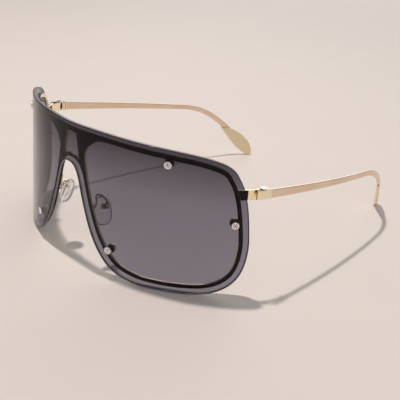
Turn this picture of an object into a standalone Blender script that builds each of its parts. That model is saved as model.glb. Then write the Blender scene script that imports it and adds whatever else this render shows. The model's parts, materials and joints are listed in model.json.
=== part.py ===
"""Oversized shield sunglasses, standing open on a table, as an assembly of separate pieces.

Metres, +Z up, +X to the wearer's left, the front faces -Y, and the table is at Z = 0.
The lens, the frame behind it and the endpieces are flat patterns bent round one upright
cylinder. A flat pattern is drawn with x along the bend, y upwards and z the depth behind the
lens's front face. A temple is a flat strip too, bent inwards in plan after it is cut.
"""
from math import atan, atan2, ceil, cos, floor, hypot, pi, radians, sin, tan

import bmesh
import bpy
from mathutils import Matrix, Vector

# Lens: one sheet bent one way
lens_bend_radius = 0.0856
lens_half_arc = 0.0850
lens_height = 0.0640
lens_thickness = 0.0018
lens_edge_round = 0.00025
# Half outline from the top centre, outwards, round the lobe and up to the nose arch,
# as shares of the half arc and of the height
lens_outline_shares = (
    (0.000, 1.000), (0.200, 1.003), (0.420, 0.992), (0.610, 0.977), (0.740, 0.957),
    (0.838, 0.925), (0.893, 0.883), (0.925, 0.824), (0.954, 0.743), (0.977, 0.620),
    (0.992, 0.480), (0.999, 0.360), (0.989, 0.240), (0.964, 0.150), (0.924, 0.086),
    (0.872, 0.043), (0.800, 0.014), (0.700, 0.002), (0.580, 0.000), (0.470, 0.006),
    (0.390, 0.025), (0.325, 0.055), (0.268, 0.108), (0.216, 0.189), (0.171, 0.290),
    (0.134, 0.411), (0.104, 0.528), (0.080, 0.633), (0.056, 0.693), (0.029, 0.720),
    (0.000, 0.726),
)

# Frame: one flat metal piece behind the lens, further in from its edge at the top
frame_setback = 0.00065
frame_depth = 0.0012
frame_inset_low = 0.0017
frame_inset_high = 0.0029
frame_bar = 0.0019
arch_inset = 0.0015
arch_bar = 0.0017
# Shares of the half arc between which the arch's slim bar widens, and of the height it reaches
arch_blend_shares = (0.106, 0.282)
arch_top_share = 0.850
# Columns beside the nose window, upwards, as shares of the half arc and of the height
column_foot_share = 0.630
column_outline_shares = ((0.1024, 0.7656), (0.1106, 0.8359), (0.1435, 0.8840))
column_join_share = 0.2176
nose_window_top_share = 0.0353
nose_window_foot_share = 0.0612

# Lens screws with their washers, lugs and nuts; places as shares of half arc and height
screw_place_shares = {
    "top": (0.5812, 0.8859),
    "outer": (0.9188, 0.5219),
    "lower": (0.2941, 0.2063),
}
screw_head_radius = 0.00165
screw_head_height = 0.00095
screw_dome_radius = 0.00085
screw_groove_depth = 0.00022
screw_dimple_radius = 0.00028
screw_dimple_depth = 0.00018
screw_shank_radius = 0.00050
screw_end_reach = 0.00030
washer_radius = 0.00150
lug_radius = 0.00200
lug_neck_width = 0.0026
lug_proud = 0.00015
nut_radius = 0.00150
nut_depth = 0.00110
nut_sides = 6

# Endpieces: straps in the frame's layer that come out past the lens edge
endpiece_height = 0.0042
endpiece_rise = 0.00045
endpiece_past_edge = 0.0002

# Hinges: upright screw through three knuckles, ahead of the strap's end and in from it
hinge_height_share = 0.7047
hinge_ahead = 0.00462
hinge_inset = 0.00151
knuckle_radius = 0.00085
knuckle_stack_height = 0.0044
middle_knuckle_height = 0.0015
leaf_length = 0.0034
leaf_thickness = 0.0006
hinge_screw_radius = 0.00045
hinge_head_radius = 0.00150
hinge_head_height = 0.00045
hinge_head_round = 0.00014
slot_width = 0.00035
slot_depth = 0.00022
temple_leaf_thickness = 0.00050
temple_leaf_height = 0.0034

# Temple block and collar
block_front_reach = 0.0048
block_back_reach = 0.0029
block_step = 0.00005
block_outer_face = 0.0016
block_inner_face = 0.0009
block_wall = 0.00065
block_round = 0.00018
block_nose_share = 0.6
collar_length = 0.0009
collar_proud = 0.00014

# Temple bar: flat strip with a waist ahead of the ear bend, bowed and curled in plan.
# The ear bend turns down as far as brings the tip to the table.
bar_offset = 0.00070
bar_thickness = 0.0012
bar_root_height = 0.0039
bar_waist_height = 0.0026
bar_end_height = 0.0032
bar_round = 0.00018
temple_slope = radians(7.8)
bar_run = 0.0869
bar_tail = 0.0350
ear_bend_radius = 0.0515
tail_bend_radius = 0.1330
joint_slant = 0.0026
bow_start = 0.0059
bow_length = 0.0892
bow_turn = radians(10.5)
curl_radius = 0.0870

# Temple tip: flat leaf over a tongue on the bar
tip_length = 0.0247
tip_neck_height = 0.0040
tip_width = 0.0082
tip_widest_share = 0.55
tip_thickness = 0.0016
tip_round = 0.00035
tongue_length = 0.0100
tongue_height = 0.0016
tongue_thickness = 0.0007

# Nose pads on wire arms; each pivot is measured from its arm's foot on the frame
pad_pivot_out = 0.0019
pad_pivot_back = 0.00456
pad_pivot_up = 0.0006
pad_splay = radians(15.0)
pad_lean = radians(18.0)
pad_length = 0.0128
pad_width = 0.0080
pad_thickness = 0.0026
pad_round = 0.0010
pad_drop = 0.0023
pad_standoff = 0.0012
pad_outline_shares = (
    (0.00, 1.00), (0.52, 0.86), (0.88, 0.48), (1.00, 0.00), (0.94, -0.52), (0.58, -0.90),
    (0.00, -1.00), (-0.58, -0.90), (-0.94, -0.52), (-1.00, 0.00), (-0.88, 0.48), (-0.52, 0.86),
)
stem_width = 0.0012
stem_height = 0.0017
stem_reach = 0.0007
box_width = 0.0028
box_height = 0.0026
box_cheek = 0.0006
box_back = 0.0009
box_lip = 0.0003
box_round = 0.00012
pad_screw_radius = 0.00034
pad_screw_head_radius = 0.00070
pad_screw_head_height = 0.00040
arm_radius = 0.00045
arm_foot_share = 0.4406
arm_rise = 0.0054
arm_sweep = 0.0034
arm_loop = 0.0032
arm_swing = 0.0012

# Clearances and fineness
seat_gap = 0.00005
layer_gap = 0.00010
turn_gap = 0.00005
swing_gap = 0.00015
plate_gap = 0.00010
cut_overrun = 0.0010
lens_strip = 0.0034
temple_strip = 0.0060
weld_distance = 0.0000005
turned_weld_distance = 0.000005
flat_angle = radians(0.05)
round_steps = 20
small_round_steps = 12
outline_steps = 3
rim_side_steps = 4
bend_steps = 6
leaf_steps = 5
search_steps = 30
wire_resolution = 3

frame_front = lens_thickness + frame_setback
frame_back = frame_front + frame_depth
lug_front = frame_front - lug_proud
lug_back = frame_back + lug_proud
endpiece_end_arc = lens_half_arc + endpiece_past_edge
column_join_arc = column_join_share * lens_half_arc
block_height = bar_root_height + 2 * block_step
bar_length = bar_run + bar_tail
sides = {"left": 1, "right": -1}


# Scene, collections and materials

def empty_scene():
    """Removes whatever the scene holds."""
    for old in list(bpy.data.objects):
        bpy.data.objects.remove(old, do_unlink=True)


def new_collection(name):
    """Makes a collection under the scene's own."""
    group = bpy.data.collections.new(name)
    bpy.context.scene.collection.children.link(group)
    return group


def new_material(name, colour, roughness, metallic=0.0, alpha=1.0):
    """Makes a material of one colour and finish."""
    material = bpy.data.materials.new(name)
    material.use_nodes = True
    shader = material.node_tree.nodes["Principled BSDF"]
    shader.inputs["Base Color"].default_value = (*colour, 1.0)
    shader.inputs["Roughness"].default_value = roughness
    shader.inputs["Metallic"].default_value = metallic
    shader.inputs["Alpha"].default_value = alpha
    return material


empty_scene()
parts = new_collection("shield_sunglasses")
shapers = new_collection("shapers")
smoke = new_material("smoke_lens", (0.055, 0.048, 0.058), 0.04, alpha=0.6)
gold = new_material("pale_gold", (0.83, 0.62, 0.40), 0.22, metallic=1.0)
silver = new_material("silver_screw", (0.72, 0.70, 0.66), 0.18, metallic=1.0)
tip_tan = new_material("tip_tan", (0.70, 0.53, 0.36), 0.30)
clear = new_material("clear_silicone", (0.85, 0.87, 0.88), 0.15, alpha=0.5)


def add_part(name, mesh, material, parent=None, place=None):
    """Adds a finished piece, placed by a matrix in its parent's frame."""
    piece = bpy.data.objects.new(name, mesh)
    parts.objects.link(piece)
    piece.data.materials.clear()
    piece.data.materials.append(material)
    piece.parent = parent
    if place is not None:
        piece.matrix_local = place
    return piece


def add_empty(name, place):
    """Adds an empty on a joint's axis, to carry the pieces that turn there."""
    empty = bpy.data.objects.new(name, None)
    empty.empty_display_size = knuckle_radius
    empty.location = place
    shapers.objects.link(empty)
    return empty


# Meshes: from curves, cylinders, boxes and turned profiles

def evaluated_mesh(maker):
    """Takes an object's evaluated mesh, welds it and removes the object."""
    bpy.context.view_layer.update()
    graph = bpy.context.evaluated_depsgraph_get()
    mesh = bpy.data.meshes.new_from_object(maker.evaluated_get(graph))
    bpy.data.objects.remove(maker, do_unlink=True)
    return reworked(mesh, lambda work: None)


def reworked(mesh, work):
    """Runs one piece of mesh work, then welds the mesh and turns its faces outwards."""
    form = bmesh.new()
    form.from_mesh(mesh)
    work(form)
    bmesh.ops.remove_doubles(form, verts=form.verts, dist=weld_distance)
    bmesh.ops.recalc_face_normals(form, faces=form.faces)
    form.to_mesh(mesh)
    form.free()
    return mesh


def flat_sheet(name, loops, depth, edge_round=0.0):
    """Makes a plate from closed outlines, inner ones being holes, centred on z = 0."""
    curve = bpy.data.curves.new(name, "CURVE")
    curve.dimensions = "2D"
    curve.fill_mode = "BOTH"
    curve.extrude = depth / 2 - edge_round
    curve.bevel_depth = edge_round
    curve.bevel_resolution = 0
    curve.offset = -edge_round
    for points in loops:
        spline = curve.splines.new("POLY")
        spline.points.add(len(points) - 1)
        for knot, (x, y) in zip(spline.points, points):
            knot.co = (x, y, 0.0, 1.0)
        spline.use_cyclic_u = True
    maker = bpy.data.objects.new(name, curve)
    shapers.objects.link(maker)
    return evaluated_mesh(maker)


def turned(name, profile, steps=round_steps):
    """Turns a profile of (radius, height) points, outer side down, about Z."""
    mesh = bpy.data.meshes.new(name)
    points = [(radius, 0.0, height) for radius, height in profile]
    closed = profile[0][0] > 0
    edges = [(k, k + 1) for k in range(len(points) - 1)]
    if closed:
        edges.append((len(points) - 1, 0))
    mesh.from_pydata(points, edges, [])
    maker = bpy.data.objects.new(name, mesh)
    shapers.objects.link(maker)
    screw = maker.modifiers.new("turn", "SCREW")
    screw.steps = steps
    screw.render_steps = steps
    screw.use_merge_vertices = True
    screw.merge_threshold = turned_weld_distance
    return evaluated_mesh(maker)


def cylinder(name, radius, low, high, steps=round_steps, place=Matrix.Identity(4)):
    """Makes a cylinder along its own Z from low to high."""
    middle = Matrix.Translation((0.0, 0.0, (low + high) / 2))
    form = bmesh.new()
    bmesh.ops.create_cone(
        form, cap_ends=True, segments=steps, radius1=radius, radius2=radius,
        depth=high - low, matrix=place @ middle,
    )
    return mesh_of(name, form)


def box(name, low, high, place=Matrix.Identity(4)):
    """Makes a box between two corners."""
    low, high = Vector(low), Vector(high)
    form = bmesh.new()
    size = Matrix.Diagonal((*(high - low), 1.0))
    bmesh.ops.create_cube(form, matrix=place @ Matrix.Translation((low + high) / 2) @ size)
    return mesh_of(name, form)


def mesh_of(name, form):
    """Writes a bmesh to a new mesh."""
    mesh = bpy.data.meshes.new(name)
    form.to_mesh(mesh)
    form.free()
    return mesh


def combined(mesh, tools, operation):
    """Joins tool meshes to a mesh, or cuts them from it, with exact Booleans."""
    maker = bpy.data.objects.new(mesh.name, mesh)
    shapers.objects.link(maker)
    helpers = []
    for tool_mesh in tools:
        tool = bpy.data.objects.new(tool_mesh.name, tool_mesh)
        tool.hide_render = True
        tool.display_type = "WIRE"
        shapers.objects.link(tool)
        helpers.append(tool)
        step = maker.modifiers.new(tool_mesh.name, "BOOLEAN")
        step.operation = operation
        step.object = tool
    result = evaluated_mesh(maker)
    for tool in helpers:
        bpy.data.objects.remove(tool, do_unlink=True)
    return result


def joined(mesh, tools):
    return combined(mesh, tools, "UNION")


def cut(mesh, tools):
    return combined(mesh, tools, "DIFFERENCE")


def rounded(mesh, width):
    """Bevels a mesh's sharp edges."""
    def work(form):
        sharp = [e for e in form.edges if e.calc_face_angle(0.0) > radians(40)]
        bmesh.ops.bevel(form, geom=sharp, offset=width, segments=1, affect="EDGES",
                        clamp_overlap=True)
    return reworked(mesh, work)


def moved(mesh, matrix):
    """Moves a mesh by a matrix, inside its own data."""
    def work(form):
        bmesh.ops.transform(form, matrix=matrix, verts=form.verts)
    return reworked(mesh, work)


def mirrored(mesh):
    """Gives the mirror image of a left piece, for the right side."""
    return moved(mesh.copy(), Matrix.Scale(-1, 4, (1, 0, 0)))


def shade(mesh):
    """Shades round faces smooth and keeps real edges sharp."""
    mesh.shade_smooth()
    mesh.set_sharp_from_angle(angle=radians(35))
    return mesh


def bent(mesh, strip, bend):
    """Cuts a flat pattern into flat facets across x and carries it through bend."""
    def dissolve(form):
        bmesh.ops.dissolve_limit(form, angle_limit=flat_angle, verts=form.verts[:],
                                 edges=form.edges[:])

    def carried(x, y, z):
        first = (floor(x / strip - 0.5) + 0.5) * strip
        start, end = bend(first, y, z), bend(first + strip, y, z)
        return start.lerp(end, (x - first) / strip)

    def work(form):
        bmesh.ops.remove_doubles(form, verts=form.verts, dist=weld_distance)
        dissolve(form)
        reach = [v.co.x for v in form.verts]
        for k in range(floor(min(reach) / strip), ceil(max(reach) / strip) + 1):
            everything = form.verts[:] + form.edges[:] + form.faces[:]
            bmesh.ops.bisect_plane(form, geom=everything, dist=weld_distance,
                                   plane_co=((k + 0.5) * strip, 0.0, 0.0), plane_no=(1, 0, 0))
        for v in form.verts:
            v.co = carried(*v.co)
        form.normal_update()
        dissolve(form)
    return reworked(mesh, work)


def add_pair(name, mesh, material, parents=None):
    """Adds a left piece and its mirror image, each in its own side's frame."""
    for side in sides:
        shape = mesh if side == "left" else mirrored(mesh)
        parent = parents[side] if parents else None
        add_part(name + "_" + side, shade(shape), material, parent=parent)


# Paths and places

def arc_path(spans, distance, heading=0.0):
    """Follows (length, turn) spans for a distance, the last one as far as it takes.

    Gives (along, across, heading).
    """
    along = across = 0.0
    for k, (length, turn) in enumerate(spans):
        step = distance if k == len(spans) - 1 else min(max(distance, 0.0), length)
        share = step / length
        middle = heading + turn * share / 2
        chord = step if turn == 0 else 2 * (length / turn) * sin(turn * share / 2)
        along += chord * cos(middle)
        across += chord * sin(middle)
        heading += turn * share
        distance -= step
        if distance <= 0:
            break
    return along, across, heading


def on_lens(arc, height, depth):
    """Puts a point of the lens pattern in the assembly: depth is behind the front face."""
    turn = arc / lens_bend_radius
    radius = lens_bend_radius - depth
    return Vector((radius * sin(turn), lens_bend_radius - radius * cos(turn), height))


def lens_knots():
    """The named points of the lens outline, in real sizes, all the way round."""
    half = [(lens_half_arc * a, lens_height * h) for a, h in lens_outline_shares]
    other = [(-x, y) for x, y in half[-2:0:-1]]
    return half + other


def smooth_loop(knots):
    """Runs a smooth closed curve through knots and returns its points."""
    points = []
    for k, knot in enumerate(knots):
        before, start = Vector(knots[k - 1]), Vector(knot)
        end, after = (Vector(knots[(k + j) % len(knots)]) for j in (1, 2))
        for step in range(outline_steps):
            t = step / outline_steps
            pull_in, pull_out = (end - before) / 2, (after - start) / 2
            spot = (start * (2 * t ** 3 - 3 * t ** 2 + 1) + pull_in * (t ** 3 - 2 * t ** 2 + t)
                    + end * (3 * t ** 2 - 2 * t ** 3) + pull_out * (t ** 3 - t ** 2))
            points.append(tuple(spot))
    return points


def lens_outline():
    """The closed outline of the lens as a smooth curve."""
    return smooth_loop(lens_knots())


def inset(loop, distance):
    """Moves a closed outline's points inwards along their normals."""
    result = []
    for k, (x, y) in enumerate(loop):
        before, after = loop[k - 1], loop[(k + 1) % len(loop)]
        near, far = (x - before[0], y - before[1]), (after[0] - x, after[1] - y)
        weight_near, weight_far = 1 / hypot(*near), 1 / hypot(*far)
        way = atan2(near[1] * weight_near + far[1] * weight_far,
                    near[0] * weight_near + far[0] * weight_far)
        result.append((x + distance * sin(way), y - distance * cos(way)))
    return result


def height_on(loop, arc, upper):
    """Height where an outline crosses an arc position, on its upper or lower side."""
    found = []
    for k, (x0, y0) in enumerate(loop):
        x1, y1 = loop[(k + 1) % len(loop)]
        if min(x0, x1) <= arc <= max(x0, x1) and x0 != x1:
            found.append(y0 + (y1 - y0) * (arc - x0) / (x1 - x0))
    return max(found) if upper else min(found)


def arcs_on(loop, height):
    """Arc positions where an outline crosses a height, from right to left on the wearer."""
    found = []
    for k, (x0, y0) in enumerate(loop):
        x1, y1 = loop[(k + 1) % len(loop)]
        if min(y0, y1) <= height <= max(y0, y1) and y0 != y1:
            found.append(x0 + (x1 - x0) * (height - y0) / (y1 - y0))
    return sorted(found)


def nearest_on(loop, point):
    """Nearest point of a closed outline."""
    best = None
    for k, start in enumerate(loop):
        a, b = Vector(start), Vector(loop[(k + 1) % len(loop)])
        share = min(max((Vector(point) - a).dot(b - a) / (b - a).length_squared, 0.0), 1.0)
        spot = a + (b - a) * share
        if best is None or (spot - Vector(point)).length < (best - Vector(point)).length:
            best = spot
    return best


def screw_places():
    """Screw places on both lobes: (name, side, arc, height)."""
    return [(name, side, sign * arc_share * lens_half_arc, height_share * lens_height)
            for name, (arc_share, height_share) in screw_place_shares.items()
            for side, sign in sides.items()]


# Front: lens, frame, screws, endpieces

def pattern_place(arc, height, way=0.0):
    """Matrix that carries a shape to a place in a flat pattern, turned by an angle."""
    return Matrix.Translation((arc, height, 0.0)) @ Matrix.Rotation(way, 4, "Z")


def make_lens():
    sheet = flat_sheet("lens", [lens_outline()], lens_thickness, lens_edge_round)
    reach = lens_thickness / 2 + cut_overrun
    holes = [cylinder("lens_hole", screw_shank_radius + swing_gap, -reach, reach,
                      place=pattern_place(arc, height))
             for name, side, arc, height in screw_places()]
    sheet = cut(sheet, holes)
    lens = bent(sheet, lens_strip, lambda x, y, z: on_lens(x, y, z + lens_thickness / 2))
    add_part("lens", shade(lens), smoke)


def frame_line(share):
    """Points along the frame's bar: share 0 is its outer edge and 1 its inner edge."""
    knots = lens_knots()
    low = inset(knots, frame_inset_low + share * frame_bar)
    high = inset(knots, frame_inset_high + share * frame_bar)
    slim = inset(knots, arch_inset + share * arch_bar)
    start, end = (lens_half_arc * arc_share for arc_share in arch_blend_shares)
    line = []
    for (x, y), spot_low, spot_high, spot_slim in zip(knots, low, high, slim):
        wide = Vector(spot_low).lerp(Vector(spot_high), y / lens_height)
        blend = min(max((abs(x) - start) / (end - start), 0.0), 1.0)
        if y > arch_top_share * lens_height:
            blend = 1.0
        line.append(tuple(Vector(spot_slim).lerp(wide, blend)))
    return line


def lens_window(side):
    """One lens loop of the frame, up the column beside the nose window and over."""
    inner = frame_line(1.0)
    foot = column_foot_share * lens_height
    column = [(lens_half_arc * a, lens_height * h) for a, h in column_outline_shares]
    round_lobe = [(x, y) for x, y in inner
                  if x > column_join_arc or (x > column[0][0] and y < foot)]
    column.append((column_join_arc, height_on(inner, column_join_arc, upper=True)))
    return [(side * x, y) for x, y in smooth_loop(round_lobe + column)]


def nose_window():
    """The small window over the nose, between the columns, top bar and arch bar."""
    inner = frame_line(1.0)
    top_half = nose_window_top_share * lens_half_arc
    foot_half = nose_window_foot_share * lens_half_arc
    top = height_on(inner, top_half, upper=True)
    foot = height_on(smooth_loop(inner), foot_half, upper=False)
    middle = height_on(smooth_loop(inner), foot_half / 2, upper=False)
    crown = height_on(inner, 0.0, upper=False)
    return [(-top_half, top), (top_half, top), (foot_half, foot), (foot_half / 2, middle),
            (0.0, crown), (-foot_half / 2, middle), (-foot_half, foot)]


def hinge_place():
    """Axis of the left hinge, from the inner corner of the strap's end."""
    turn = endpiece_end_arc / lens_bend_radius
    ahead, inwards = Vector((cos(turn), sin(turn), 0.0)), Vector((-sin(turn), cos(turn), 0.0))
    corner = on_lens(endpiece_end_arc, hinge_height_share * lens_height, frame_back)
    return corner + ahead * hinge_ahead + inwards * hinge_inset


def arm_foot(depth):
    """Foot of the left pad arm, on the nose side of the frame's bar, at a depth."""
    height = arm_foot_share * lens_height
    arcs = arcs_on(smooth_loop(frame_line(0.5)), height)
    return on_lens(min(arc for arc in arcs if arc > 0), height, depth)


hinge_axis = hinge_place()
pad_pivot = arm_foot(frame_back) + Vector((pad_pivot_out, pad_pivot_back, pad_pivot_up))


def make_frame():
    loops = [smooth_loop(frame_line(0.0)), lens_window(1), lens_window(-1), nose_window()]
    sheet = flat_sheet("lens_frame", loops, frame_depth)
    middle = smooth_loop(frame_line(0.5))
    half_lug = frame_depth / 2 + lug_proud
    lugs, bores = [], []
    for name, side, arc, height in screw_places():
        to_bar = nearest_on(middle, (arc, height)) - Vector((arc, height))
        place = pattern_place(arc, height, atan2(to_bar.y, to_bar.x))
        lugs.append(cylinder("lug", lug_radius, -half_lug, half_lug, place=place))
        lugs.append(box("lug_neck", (0.0, -lug_neck_width / 2, -half_lug + plate_gap / 2),
                        (to_bar.length, lug_neck_width / 2, half_lug - plate_gap / 2), place))
        bores.append(cylinder("lug_bore", screw_shank_radius + turn_gap, -half_lug - cut_overrun,
                              half_lug + cut_overrun, place=place))
    sheet = cut(joined(sheet, lugs), bores)
    middle_depth = frame_front + frame_depth / 2
    frame = bent(sheet, lens_strip, lambda x, y, z: on_lens(x, y, z + middle_depth))
    add_part("lens_frame", shade(frame), gold)


def screw_profile():
    """Head with a raised rim, a groove and a dimpled dome, then the shank."""
    head, dome, low = screw_head_height, screw_dome_radius, seat_gap
    groove = head - screw_groove_depth
    rim = (head + low) / 2
    middle = (screw_head_radius + dome) / 2
    tail = -(lug_back + layer_gap + nut_depth + screw_end_reach)
    return [(0.0, head - screw_dimple_depth), (screw_dimple_radius, head - screw_dimple_depth),
            (screw_dimple_radius, head), ((dome + screw_dimple_radius) / 2, head),
            (dome, groove), (middle, groove), (middle, head - screw_groove_depth / 2),
            (screw_head_radius - screw_groove_depth / 2, head - screw_groove_depth / 2),
            (screw_head_radius, rim), (screw_head_radius, low), (screw_shank_radius, low),
            (screw_shank_radius, tail), (0.0, tail)]


def make_lens_screws():
    hole = screw_shank_radius + turn_gap
    washer_top, washer_low = -lens_thickness - layer_gap, -lug_front + layer_gap
    screw = shade(turned("lens_screw", screw_profile()))
    washer = turned("lens_washer", [(hole, washer_top), (washer_radius, washer_top),
                                    (washer_radius, washer_low), (hole, washer_low)])
    nut_top = -lug_back - layer_gap
    nut = cut(cylinder("lens_nut", nut_radius, nut_top - nut_depth, nut_top, steps=nut_sides),
              [cylinder("nut_bore", screw_shank_radius + turn_gap,
                        nut_top - nut_depth - cut_overrun, nut_top + cut_overrun)])
    for name, side, arc, height in screw_places():
        turn = Matrix.Rotation(arc / lens_bend_radius, 4, "Z") @ Matrix.Rotation(pi / 2, 4, "X")
        place = Matrix.Translation(on_lens(arc, height, 0.0)) @ turn
        add_part("lens_screw_" + name + "_" + side, screw.copy(), silver, place=place)
        add_part("lens_washer_" + name + "_" + side, washer.copy(), clear, place=place)
        add_part("lens_nut_" + name + "_" + side, nut.copy(), silver, place=place)


def make_endpieces():
    outer = smooth_loop(frame_line(0.0))
    low = hinge_axis.z + endpiece_rise - endpiece_height / 2
    high = low + endpiece_height
    rim_side = []
    for k in range(rim_side_steps + 1):
        height = high + (low - high) * k / rim_side_steps
        rim_side.append((arcs_on(outer, height)[-1] + plate_gap, height))
    loop = rim_side + [(endpiece_end_arc, low), (endpiece_end_arc, high)]
    sheet = flat_sheet("endpiece", [loop], frame_depth)
    middle_depth = frame_front + frame_depth / 2
    strap = bent(sheet, lens_strip / 2, lambda x, y, z: on_lens(x, y, z + middle_depth))
    add_pair("endpiece", strap, gold)


# Hinges, in the frame of the hinge axis

def plan_from_axis(arc, depth):
    """A place on the lens pattern, in plan, measured from the left hinge axis."""
    spot = on_lens(arc, 0.0, depth) - hinge_axis
    return spot.x, spot.y


def make_front_hinges(axes):
    near, far = frame_back + seat_gap, frame_back + seat_gap + leaf_thickness
    start, end = endpiece_end_arc - leaf_length, endpiece_end_arc
    plan = [plan_from_axis(start, near), plan_from_axis(end, near),
            (knuckle_radius / 2, 0.0), (-knuckle_radius, 0.0),
            plan_from_axis(end, far), plan_from_axis(start, far)]
    half, gap_half = knuckle_stack_height / 2, middle_knuckle_height / 2 + turn_gap
    leaf = flat_sheet("front_hinge", [plan], knuckle_stack_height - plate_gap)
    leaf = joined(leaf, [cylinder("knuckles", knuckle_radius, -half, half)])
    leaf = cut(leaf, [cylinder("knuckle_gap", knuckle_radius + swing_gap, -gap_half, gap_half),
                      hinge_bore()])
    add_pair("front_hinge", leaf, gold, axes)


def hinge_bore():
    """The hole through a hinge's knuckles."""
    reach = knuckle_stack_height / 2 + cut_overrun
    return cylinder("hinge_bore", hinge_screw_radius + turn_gap, -reach, reach)


def make_temple_hinges(axes):
    half = middle_knuckle_height / 2
    plate_front = knuckle_radius + swing_gap + plate_gap
    plate_back = plate_front + temple_leaf_thickness
    knuckle = cylinder("temple_hinge", knuckle_radius, -half, half)
    arm = box("arm", (-knuckle_radius / 2, 0.0, -half + plate_gap / 2),
              (knuckle_radius / 2, plate_back - plate_gap / 2, half - plate_gap / 2))
    plate = box("plate", (-knuckle_radius, plate_front, -temple_leaf_height / 2),
                (knuckle_radius - plate_gap, plate_back, temple_leaf_height / 2))
    leaf = cut(joined(knuckle, [arm, plate]), [hinge_bore()])
    add_pair("temple_hinge", leaf, gold, axes)


def make_hinge_screws(axes):
    top = knuckle_stack_height / 2 + seat_gap
    crown = top + hinge_head_height
    edge = hinge_head_radius - hinge_head_round
    profile = [(0.0, crown), (edge, crown), (hinge_head_radius, crown - hinge_head_round),
               (hinge_head_radius, top), (hinge_screw_radius, top),
               (hinge_screw_radius, -knuckle_stack_height / 2), (0.0, -knuckle_stack_height / 2)]
    pin = turned("hinge_screw", profile)
    reach = hinge_head_radius + cut_overrun
    slot = box("slot", (-reach, -slot_width / 2, crown - slot_depth),
               (reach, slot_width / 2, crown + cut_overrun))
    add_pair("hinge_screw", cut(pin, [slot]), silver, axes)


# Temples, in the frame of the hinge axis

plan_spans = ((bow_start, 0.0), (bow_length, bow_turn), (curl_radius, 1.0))


def spans_with(turn):
    """Side path of a temple whose ear bend turns down by an angle."""
    return ((bar_run, 0.0), (ear_bend_radius * turn, -turn), (tail_bend_radius, -1.0))


def side_point(spans, distance, rise):
    """A point of the temple pattern, so far along its centre line and so far above it."""
    along, height, heading = arc_path(spans, distance, -temple_slope)
    return along - rise * sin(heading), height + rise * cos(heading)


def bar_half(distance):
    """Half height of the bar: it narrows to its waist, then widens towards the tip."""
    ahead, behind = max(bar_run - distance, 0.0), max(distance - bar_run, 0.0)
    return (bar_waist_height + (bar_root_height - bar_waist_height) * ahead / bar_run
            + (bar_end_height - bar_waist_height) * behind / bar_tail) / 2


def leaf_stations():
    """Share of the length and half height along the leaf: it widens, then closes round."""
    stations = []
    for k in range(leaf_steps):
        widening = (tip_width - tip_neck_height) * sin(pi / 2 * k / leaf_steps)
        stations.append((tip_widest_share * k / leaf_steps, (tip_neck_height + widening) / 2))
    for k in range(leaf_steps + 1):
        turn = pi / 2 * k / leaf_steps
        stations.append((tip_widest_share + (1 - tip_widest_share) * sin(turn),
                         tip_width / 2 * cos(turn)))
    return stations


def leaf_loop(spans):
    """Closed outline of the leaf, from the slanted joint to its round end."""
    gap = plate_gap / sin(atan(bar_half(bar_length) / joint_slant))
    slant = joint_slant * tip_neck_height / 2 / bar_half(bar_length)
    edges = []
    for side in (1, -1):
        start = bar_length + gap + side * slant
        edges.append([side_point(spans, start + (bar_length + tip_length - start) * share,
                                 side * half) for share, half in leaf_stations()])
    upper, lower = edges
    return upper + lower[-2::-1]


def ear_bend_turn():
    """The angle of the ear bend at which the leaf just reaches the table."""
    less, more = 0.0, pi / 2
    for step in range(search_steps):
        middle = (less + more) / 2
        if min(y for x, y in leaf_loop(spans_with(middle))) > -hinge_axis.z:
            less = middle
        else:
            more = middle
    return less


side_spans = spans_with(ear_bend_turn())


def sloped(mesh):
    """Leans a block or collar along the temple's slope and keeps its ends upright."""
    return moved(mesh, Matrix.Shear("XZ", 4, (0.0, -tan(temple_slope))))


def temple_bend(along, height, outward):
    """Carries a point of the flat temple pattern to its place beside the hinge axis."""
    forward, inward, heading = arc_path(plan_spans, along)
    return Vector((bar_offset - inward + outward * cos(heading),
                   forward + outward * sin(heading), height))


def make_blocks(axes):
    back = block_back_reach
    cavity_back = knuckle_radius + swing_gap + 2 * plate_gap + temple_leaf_thickness
    wall_inner = block_outer_face - block_wall
    nose = block_wall * block_nose_share
    plan = [(wall_inner - nose, -block_front_reach), (block_outer_face - nose, -block_front_reach),
            (block_outer_face, -block_front_reach / 2), (block_outer_face, back),
            (-block_inner_face, back), (-block_inner_face, cavity_back),
            (wall_inner, cavity_back), (wall_inner, -block_front_reach / 2)]
    block = flat_sheet("temple_block", [plan], block_height, block_round)
    add_pair("temple_block", sloped(block), gold, axes)


def make_collars(axes):
    front = block_back_reach + seat_gap
    hole_half = bar_half(front) / cos(temple_slope) + plate_gap
    hole_in = bar_offset - bar_thickness / 2 - plate_gap
    hole_out = bar_offset + bar_thickness / 2 + plate_gap
    half = block_height / 2 + collar_proud
    ring = box("temple_collar", (-block_inner_face - collar_proud, front, -half),
               (block_outer_face + collar_proud, front + collar_length, half))
    hole = box("collar_hole", (hole_in, front - cut_overrun, -hole_half),
               (hole_out, front + collar_length + cut_overrun, hole_half))
    ring = cut(rounded(ring, block_round), [hole])
    add_pair("temple_collar", sloped(ring), gold, axes)


def make_bars(axes):
    start = block_back_reach + 2 * seat_gap
    root_rise, root_half = -start * tan(temple_slope), bar_half(start) / cos(temple_slope)
    edges = []
    for side in (1, -1):
        end = bar_length + side * joint_slant
        marks = [bar_run + (end - bar_run) * k / bend_steps for k in range(bend_steps + 1)]
        edge = [side_point(side_spans, d, side * bar_half(d)) for d in [bar_run / 2] + marks]
        edges.append([(start, root_rise + side * root_half)] + edge)
    upper, lower = edges
    sheet = flat_sheet("temple_bar", [upper + lower[::-1]], bar_thickness, bar_round)
    tongue = box("tongue", (-bar_end_height / 2, -tongue_height / 2, -tongue_thickness / 2),
                 (tongue_length, tongue_height / 2, tongue_thickness / 2), joint_place())
    bar = bent(joined(sheet, [tongue]), temple_strip, temple_bend)
    add_pair("temple_bar", bar, gold, axes)


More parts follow.
